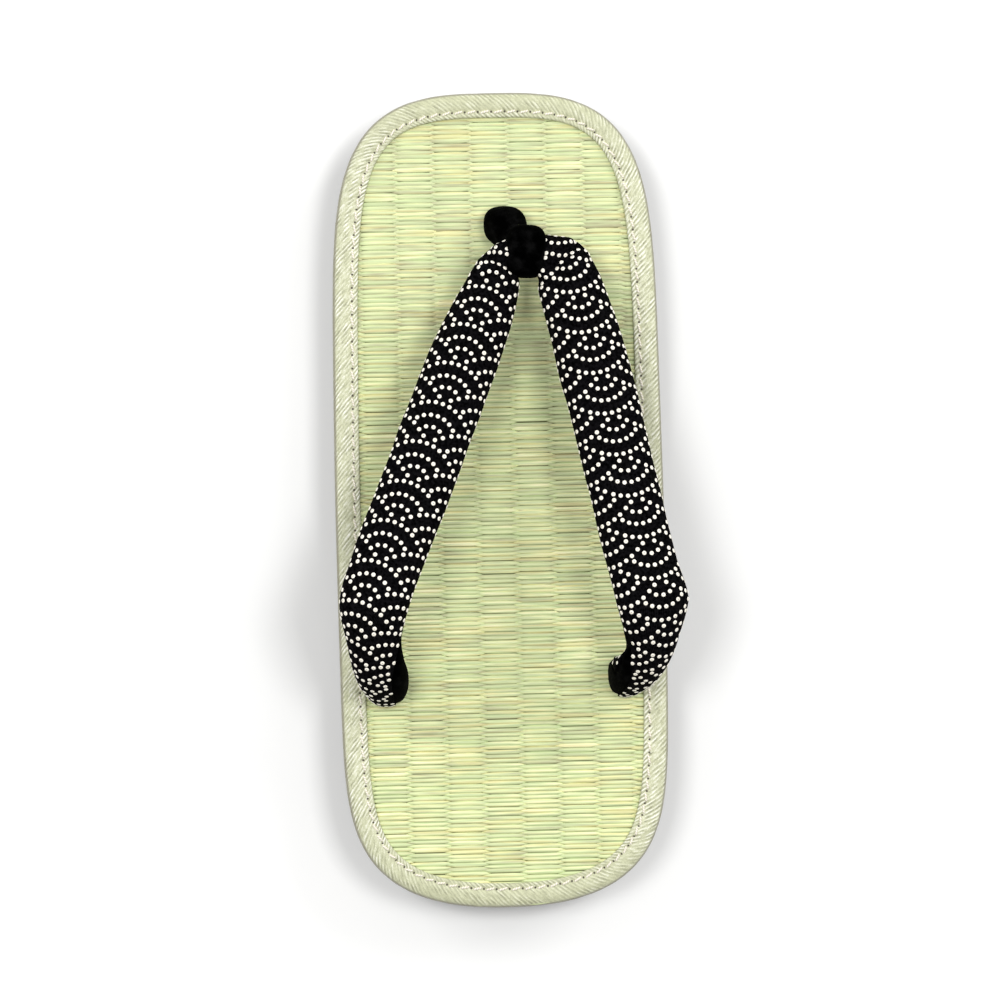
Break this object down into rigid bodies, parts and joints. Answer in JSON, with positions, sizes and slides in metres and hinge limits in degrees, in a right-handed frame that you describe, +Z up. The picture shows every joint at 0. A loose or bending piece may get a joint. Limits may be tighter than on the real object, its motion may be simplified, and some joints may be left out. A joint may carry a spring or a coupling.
{
  "type": "rush-topped thong sandal (zori)",
  "caption": "Flat thong sandal with a woven rush footbed, cloth edge binding and plain foam sole, and a padded V strap held by a velvet toe post; fits either foot.",
  "frame": {"origin": "on the floor under the centre of the sole's outline", "axes": "+Y to the toe, +X to the wearer's right, +Z up"},
  "size_m": [0.1078, 0.26, 0.0603],
  "materials": {
    "sole_foam": "matt closed-cell foam, dark brown-black",
    "rush": "woven rush, satin, pale yellow-green with tan and green strands",
    "binding_cloth": "silvery beige bias-cut ribbed cloth with a cream stitch line",
    "strap_cloth": "black cloth printed with cream dots in a traditional wave pattern",
    "velvet": "black cotton velvet"
  },
  "bodies": {
    "root": {"sole": "sole_foam", "mat": "rush", "edge_binding": "binding_cloth", "strap": "strap_cloth", "toe_post": "velvet"}
  },
  "joints": []
}
